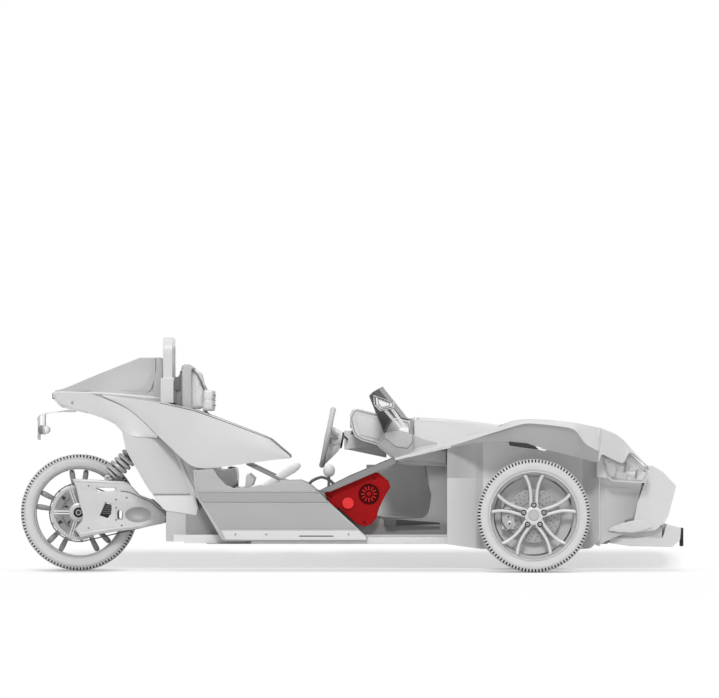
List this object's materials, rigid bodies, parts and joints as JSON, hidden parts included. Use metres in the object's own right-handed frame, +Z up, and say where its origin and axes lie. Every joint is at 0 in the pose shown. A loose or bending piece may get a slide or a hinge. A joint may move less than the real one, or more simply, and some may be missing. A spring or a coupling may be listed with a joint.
{
  "type": "open three-wheeled two-seat roadster",
  "caption": "Open two-seat three-wheeled vehicle with two steered front wheels, one driven rear wheel, pointed side blades, roll hoops and a forward-tilting hood",
  "frame": {"origin": "on the ground, midway between the front and rear ends on the middle plane", "axes": "+X forwards, +Y to the vehicle's left, +Z up"},
  "size_m": [3.906, 1.97, 1.373],
  "materials": {
    "body": "satin pale grey",
    "rims": "satin pale grey",
    "shade": "mid grey moulded panels",
    "plastic": "grey textured trim",
    "dark": "dark grey",
    "metal": "satin",
    "steel": "brushed",
    "belt": "matt black",
    "tyres": "pale grey",
    "seat_cover": "grey",
    "accent": "deep red",
    "screen": "dark tint",
    "lamps": "clear"
  },
  "bodies": {
    "chassis": {"quarter_blade_left": "body", "quarter_blade_right": "body", "front_fender_left": "body", "front_fender_right": "body", "mirror_left": "body", "mirror_right": "body", "rear_body": "body", "roll_hoops": "body", "cowl": "body", "nose": "body", "splitter": "body", "rocker_panel_left": "shade", "rocker_panel_right": "shade", "front_side_left": "shade", "front_side_right": "shade", "tail_cowl": "shade", "dash": "plastic", "steering_column": "plastic", "plate_bracket": "plastic", "cowl_rail_left": "dark", "cowl_rail_right": "dark", "tub": "dark", "gear_lever": "dark", "grille": "dark", "lower_arm_left": "metal", "lower_arm_right": "metal", "upper_arm_left": "metal", "upper_arm_right": "metal", "frame": "metal", "engine": "metal", "swingarm": "metal", "rear_shock": "metal", "drive_belt": "belt", "seat_left": "seat_cover", "seat_right": "seat_cover", "kick_panel_left": "accent", "kick_panel_right": "accent", "tail_lamp": "accent", "windscreen": "screen", "headlamp_left": "lamps", "headlamp_right": "lamps"},
    "hood_lid": {"hood": "body"},
    "steering_wheel_body": {"steering_wheel": "plastic"},
    "rack": {"steering_rack": "metal"},
    "upright_left": {"knuckle_left": "metal"},
    "upright_right": {"knuckle_right": "metal"},
    "wheel_left": {"brake_disc_left": "steel", "front_rim_left": "rims", "front_tyre_left": "tyres"},
    "wheel_right": {"brake_disc_right": "steel", "front_rim_right": "rims", "front_tyre_right": "tyres"},
    "rear_wheel": {"sprocket": "steel", "rear_disc": "steel", "rear_rim": "rims", "rear_tyre": "tyres"}
  },
  "joints": [
    {"name": "steer_right", "type": "hinge", "parent": "chassis", "child": "upright_right", "pos_m": [1.057, -0.8005, 0.33], "axis": [0, 0, 1], "range_deg": [-30, 30]},
    {"name": "steer_left", "type": "hinge", "parent": "chassis", "child": "upright_left", "pos_m": [1.057, 0.8005, 0.33], "axis": [0, 0, 1], "range_deg": [-30, 30]},
    {"name": "roll_right", "type": "hinge", "parent": "upright_right", "child": "wheel_right", "pos_m": [1.057, -0.8725, 0.33], "axis": [0, 1, 0], "continuous": true},
    {"name": "roll_left", "type": "hinge", "parent": "upright_left", "child": "wheel_left", "pos_m": [1.057, 0.8725, 0.33], "axis": [0, 1, 0], "continuous": true},
    {"name": "roll_rear", "type": "hinge", "parent": "chassis", "child": "rear_wheel", "pos_m": [-1.61, 0, 0.343], "axis": [0, 1, 0], "continuous": true},
    {"name": "steering_wheel_turn", "type": "hinge", "parent": "chassis", "child": "steering_wheel_body", "pos_m": [-0.146, 0.38, 0.785], "axis": [-0.9803, 0, 0.1977], "range_deg": [-450, 450]},
    {"name": "rack_slide", "type": "slide", "parent": "chassis", "child": "rack", "axis": [0, 1, 0], "range_m": [-0.0686, 0.0686]},
    {"name": "hood_tilt", "type": "hinge", "parent": "chassis", "child": "hood_lid", "pos_m": [1.572, 0, 0.56], "axis": [0, 1, 0], "range_deg": [0, 45]}
  ],
  "couplings": [
    {"joint": "steer_left", "follows": "steer_right", "ratio": 1},
    {"joint": "steering_wheel_turn", "follows": "steer_right", "ratio": 15},
    {"joint": "rack_slide", "follows": "steer_right", "m_per_rad": -0.13}
  ]
}
